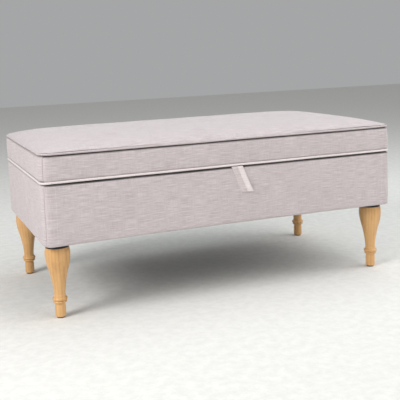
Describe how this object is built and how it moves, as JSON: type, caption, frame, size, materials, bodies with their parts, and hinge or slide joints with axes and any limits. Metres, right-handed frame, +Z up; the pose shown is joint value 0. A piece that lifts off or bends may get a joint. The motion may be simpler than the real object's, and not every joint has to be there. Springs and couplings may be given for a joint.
{
  "type": "storage ottoman bench",
  "caption": "Long upholstered storage bench on turned wooden legs, with a thick piped cushion lid that lifts on hinges and gas struts above an open lined box.",
  "frame": {"origin": "on the floor, under the middle of the box", "axes": "+Z up, +X along the bench, -Y towards the front, where the pull tab is"},
  "size_m": [0.944, 0.5078, 0.414],
  "materials": {
    "plywood": "matte",
    "raw_pine": "matte",
    "turned_pine": "satin",
    "linen": "matte",
    "piping_cloth": "matte",
    "wadding": "matte",
    "foam": "matte",
    "lining_cloth": "matte",
    "dust_cloth": "matte",
    "nylon": "matte",
    "rubber": "matte",
    "brass_plate": "satin",
    "black_enamel": "gloss",
    "bright_rod": "polished",
    "zinc_steel": "satin"
  },
  "bodies": {
    "box": {"back_panel": "plywood", "bottom_panel": "plywood", "box_lining": "lining_cloth", "corner_blocks": "raw_pine", "cover_back": "linen", "cover_front": "linen", "cover_left": "linen", "cover_right": "linen", "dust_cover": "dust_cloth", "front_panel": "plywood", "hanger_bolts": "zinc_steel", "hinge_box_screws": "brass_plate", "hinge_left_box_leaf": "brass_plate", "hinge_pins": "brass_plate", "hinge_right_box_leaf": "brass_plate", "left_end_panel": "plywood", "leg_back_left": "turned_pine", "leg_back_right": "turned_pine", "leg_front_left": "turned_pine", "leg_front_right": "turned_pine", "leg_glides": "nylon", "leg_nuts": "zinc_steel", "leg_spacers": "nylon", "padding_back": "wadding", "padding_front": "wadding", "padding_left": "wadding", "padding_right": "wadding", "panel_screws": "zinc_steel", "right_end_panel": "plywood", "strut_left_wall_bracket": "zinc_steel", "strut_right_wall_bracket": "zinc_steel", "strut_wall_screws": "zinc_steel"},
    "lid": {"hinge_left_lid_leaf": "brass_plate", "hinge_lid_screws": "brass_plate", "hinge_right_lid_leaf": "brass_plate", "lid_band_back": "linen", "lid_band_front": "linen", "lid_band_left": "linen", "lid_band_right": "linen", "lid_board": "plywood", "lid_bumpers": "rubber", "lid_foam": "foam", "lid_lining": "lining_cloth", "lid_piping_bottom": "piping_cloth", "lid_piping_top": "piping_cloth", "lid_top_cover": "linen", "lid_wadding": "wadding", "strut_left_lid_bracket": "zinc_steel", "strut_lid_screws": "zinc_steel", "strut_right_lid_bracket": "zinc_steel"},
    "pull_tab": {"pull_tab": "linen"},
    "strut_left_cylinder": {"strut_left_cylinder": "black_enamel", "strut_left_low_socket": "nylon"},
    "strut_left_rod": {"strut_left_rod": "bright_rod", "strut_left_top_socket": "nylon"},
    "strut_right_cylinder": {"strut_right_cylinder": "black_enamel", "strut_right_low_socket": "nylon"},
    "strut_right_rod": {"strut_right_rod": "bright_rod", "strut_right_top_socket": "nylon"}
  },
  "joints": [
    {"name": "lid_hinge", "type": "hinge", "parent": "box", "child": "lid", "pos_m": [0, 0.25295, 0.32375], "axis": [-1, 0, 0], "range_deg": [0, 70], "stiffness_Nm_per_rad": 7, "springref_deg": 126.05},
    {"name": "pull_tab_flex", "type": "hinge", "parent": "lid", "child": "pull_tab", "pos_m": [0.012, -0.25, 0.323], "axis": [-1, 0, 0], "range_deg": [0, 100]},
    {"name": "strut_left_low_ball", "type": "hinge", "parent": "box", "child": "strut_left_cylinder", "pos_m": [-0.43, 0.2026, 0.2072], "axis": [-1, 0, 0], "range_deg": [0, 35]},
    {"name": "strut_left_top_ball", "type": "hinge", "parent": "lid", "child": "strut_left_rod", "pos_m": [-0.43, 0.12647, 0.31275], "axis": [-1, 0, 0], "range_deg": [-35, 0]},
    {"name": "strut_right_low_ball", "type": "hinge", "parent": "box", "child": "strut_right_cylinder", "pos_m": [0.43, 0.2026, 0.2072], "axis": [-1, 0, 0], "range_deg": [0, 35]},
    {"name": "strut_right_top_ball", "type": "hinge", "parent": "lid", "child": "strut_right_rod", "pos_m": [0.43, 0.12647, 0.31275], "axis": [-1, 0, 0], "range_deg": [-35, 0]}
  ],
  "couplings": [
    {"joint": "strut_left_low_ball", "follows": "lid_hinge", "ratio": 0.5},
    {"joint": "strut_left_top_ball", "follows": "lid_hinge", "ratio": -0.5},
    {"joint": "strut_right_low_ball", "follows": "lid_hinge", "ratio": 0.5},
    {"joint": "strut_right_top_ball", "follows": "lid_hinge", "ratio": -0.5}
  ]
}
